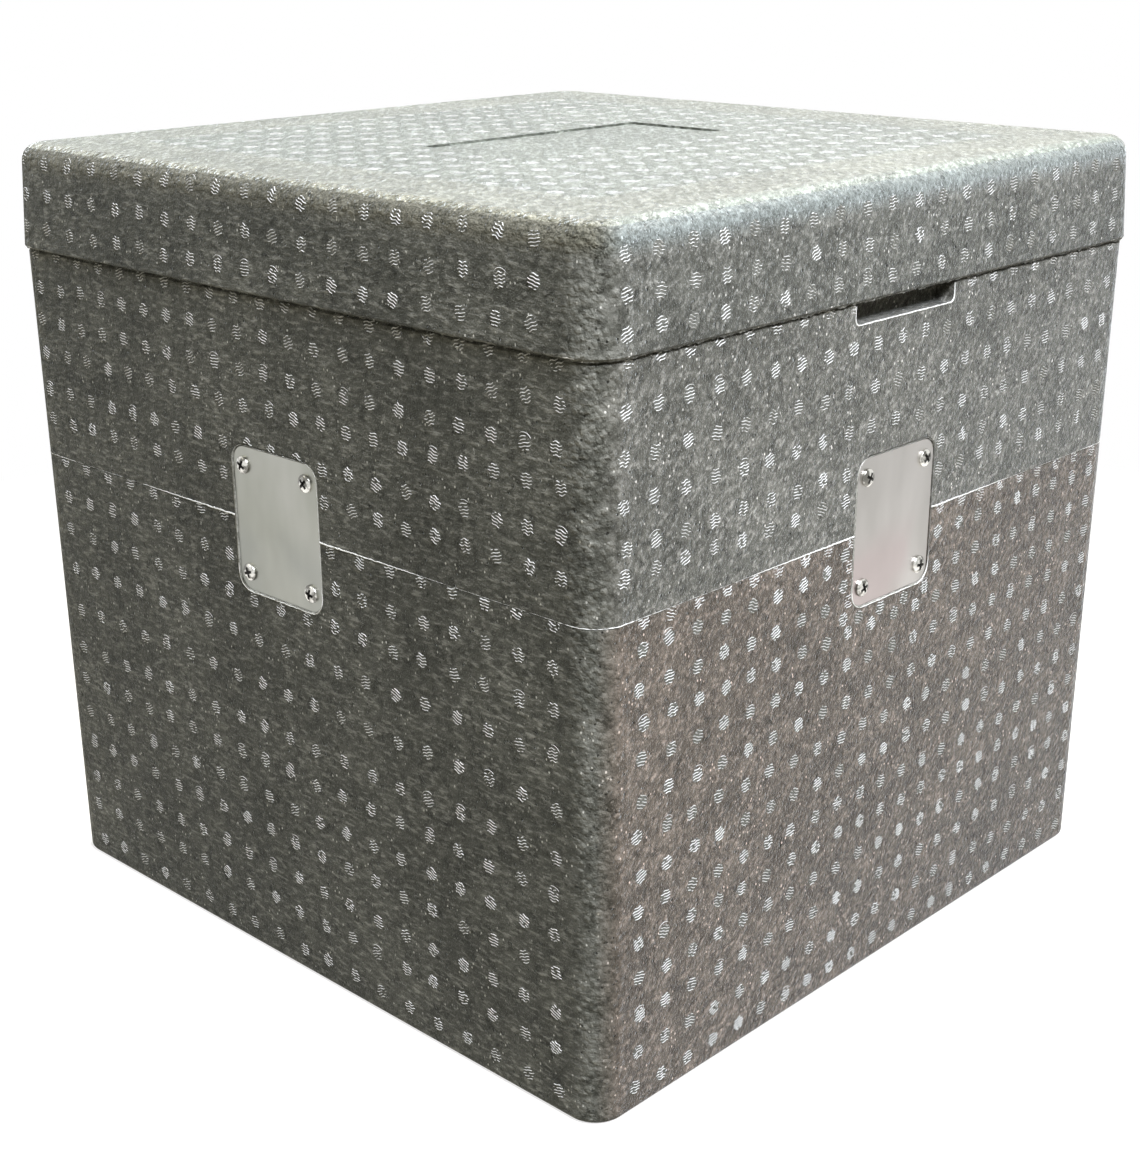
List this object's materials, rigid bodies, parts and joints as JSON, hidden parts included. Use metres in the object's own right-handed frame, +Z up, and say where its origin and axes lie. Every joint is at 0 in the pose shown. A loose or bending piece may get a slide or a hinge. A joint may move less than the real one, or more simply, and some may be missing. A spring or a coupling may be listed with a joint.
{
  "type": "insulated shipping box",
  "caption": "Square moulded foam box with a raising collar joined to the tub by metal side plates, and a lift-off foam lid over a thick-walled cavity.",
  "frame": {"origin": "middle of the box's base, on the surface that it stands on", "axes": "+Z up, -Y out of the front side, +X out of the right side, which has a finger notch under the lid"},
  "size_m": [0.4036, 0.4036, 0.387],
  "materials": {
    "foam": "moulded graphite bead foam, matte",
    "plate_steel": "satin stainless sheet",
    "screw_steel": "plated screw, bright",
    "anchor_plastic": "natural nylon"
  },
  "bodies": {
    "box": {"lower_tub": "foam", "upper_collar": "foam", "front_plate": "plate_steel", "front_screws": "screw_steel", "front_anchors": "anchor_plastic", "right_plate": "plate_steel", "right_screws": "screw_steel", "right_anchors": "anchor_plastic", "rear_plate": "plate_steel", "rear_screws": "screw_steel", "rear_anchors": "anchor_plastic", "left_plate": "plate_steel", "left_screws": "screw_steel", "left_anchors": "anchor_plastic"},
    "lid": {"lid": "foam"}
  },
  "joints": [
    {"name": "lid_lift", "type": "slide", "parent": "box", "child": "lid", "axis": [0, 0, 1], "range_m": [0, 0.35]}
  ]
}
